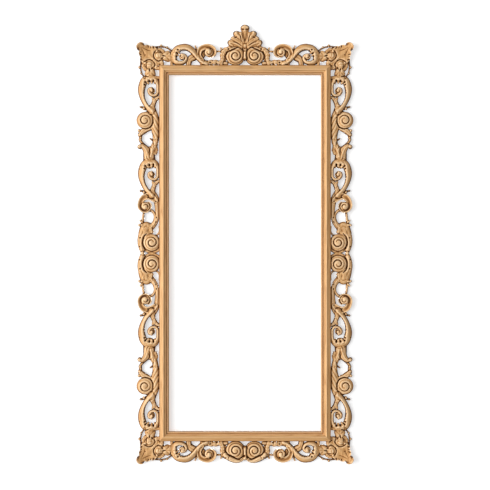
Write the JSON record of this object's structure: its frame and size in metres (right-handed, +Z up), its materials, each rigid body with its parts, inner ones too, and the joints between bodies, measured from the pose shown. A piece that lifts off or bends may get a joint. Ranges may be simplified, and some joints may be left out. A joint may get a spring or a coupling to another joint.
{
  "type": "mirror frame",
  "caption": "Tall carved wooden mirror frame: mitred moulding in an openwork acanthus scroll border with a palmette crest, turn buttons behind its rebate and ring hangers.",
  "frame": {"origin": "middle of the top rail's back face, where the frame meets the wall", "axes": "+X to the viewer's right across the front, +Y out of the back towards the wall, +Z up"},
  "size_m": [0.868, 0.0415, 1.756],
  "materials": {
    "moulding_wood": "waxed open-grained hardwood",
    "carved_wood": "waxed carving with darkened hollows",
    "joinery_wood": "bare wood",
    "brass": "dull brass",
    "steel": "plated steel"
  },
  "bodies": {
    "frame": {"top_rail": "moulding_wood", "bottom_rail": "moulding_wood", "left_stile": "moulding_wood", "right_stile": "moulding_wood", "left_upper_corner": "carved_wood", "left_lower_corner": "carved_wood", "right_upper_corner": "carved_wood", "right_lower_corner": "carved_wood", "left_upper_scroll": "carved_wood", "left_lower_scroll": "carved_wood", "right_upper_scroll": "carved_wood", "right_lower_scroll": "carved_wood", "left_medallion": "carved_wood", "right_medallion": "carved_wood", "top_left_scroll": "carved_wood", "top_right_scroll": "carved_wood", "bottom_left_scroll": "carved_wood", "bottom_right_scroll": "carved_wood", "top_medallion": "carved_wood", "bottom_medallion": "carved_wood", "crest": "carved_wood", "left_upper_spline": "joinery_wood", "left_lower_spline": "joinery_wood", "right_upper_spline": "joinery_wood", "right_lower_spline": "joinery_wood", "left_upper_scroll_dowel": "joinery_wood", "left_lower_scroll_dowel": "joinery_wood", "right_upper_scroll_dowel": "joinery_wood", "right_lower_scroll_dowel": "joinery_wood", "left_medallion_upper_dowel": "joinery_wood", "left_medallion_lower_dowel": "joinery_wood", "right_medallion_upper_dowel": "joinery_wood", "right_medallion_lower_dowel": "joinery_wood", "top_left_scroll_dowel": "joinery_wood", "top_right_scroll_dowel": "joinery_wood", "bottom_left_scroll_dowel": "joinery_wood", "bottom_right_scroll_dowel": "joinery_wood", "top_medallion_left_dowel": "joinery_wood", "top_medallion_right_dowel": "joinery_wood", "bottom_medallion_left_dowel": "joinery_wood", "bottom_medallion_right_dowel": "joinery_wood", "crest_dowel": "joinery_wood", "left_upper_button_screw": "brass", "left_middle_button_screw": "brass", "left_lower_button_screw": "brass", "right_upper_button_screw": "brass", "right_middle_button_screw": "brass", "right_lower_button_screw": "brass", "left_hanger_strap": "steel", "left_hanger_screw": "steel", "right_hanger_strap": "steel", "right_hanger_screw": "steel"},
    "left_upper_button": {"left_upper_button": "brass"},
    "left_middle_button": {"left_middle_button": "brass"},
    "left_lower_button": {"left_lower_button": "brass"},
    "right_upper_button": {"right_upper_button": "brass"},
    "right_middle_button": {"right_middle_button": "brass"},
    "right_lower_button": {"right_lower_button": "brass"},
    "left_hanger_ring": {"left_hanger_ring": "steel"},
    "right_hanger_ring": {"right_hanger_ring": "steel"}
  },
  "joints": [
    {"name": "left_upper_button_turn", "type": "hinge", "parent": "frame", "child": "left_upper_button", "pos_m": [-0.326, 0.0015, -0.2525], "axis": [0, 1, 0], "continuous": true},
    {"name": "left_middle_button_turn", "type": "hinge", "parent": "frame", "child": "left_middle_button", "pos_m": [-0.326, 0.0015, -0.7325], "axis": [0, 1, 0], "continuous": true},
    {"name": "left_lower_button_turn", "type": "hinge", "parent": "frame", "child": "left_lower_button", "pos_m": [-0.326, 0.0015, -1.2125], "axis": [0, 1, 0], "continuous": true},
    {"name": "right_upper_button_turn", "type": "hinge", "parent": "frame", "child": "right_upper_button", "pos_m": [0.326, 0.0015, -0.2525], "axis": [0, 1, 0], "continuous": true},
    {"name": "right_middle_button_turn", "type": "hinge", "parent": "frame", "child": "right_middle_button", "pos_m": [0.326, 0.0015, -0.7325], "axis": [0, 1, 0], "continuous": true},
    {"name": "right_lower_button_turn", "type": "hinge", "parent": "frame", "child": "right_lower_button", "pos_m": [0.326, 0.0015, -1.2125], "axis": [0, 1, 0], "continuous": true},
    {"name": "left_ring_swing", "type": "hinge", "parent": "frame", "child": "left_hanger_ring", "pos_m": [-0.329, 0.0039, -0.4025], "axis": [1, 0, 0], "range_deg": [0, 180]},
    {"name": "right_ring_swing", "type": "hinge", "parent": "frame", "child": "right_hanger_ring", "pos_m": [0.329, 0.0039, -0.4025], "axis": [1, 0, 0], "range_deg": [0, 180]}
  ]
}
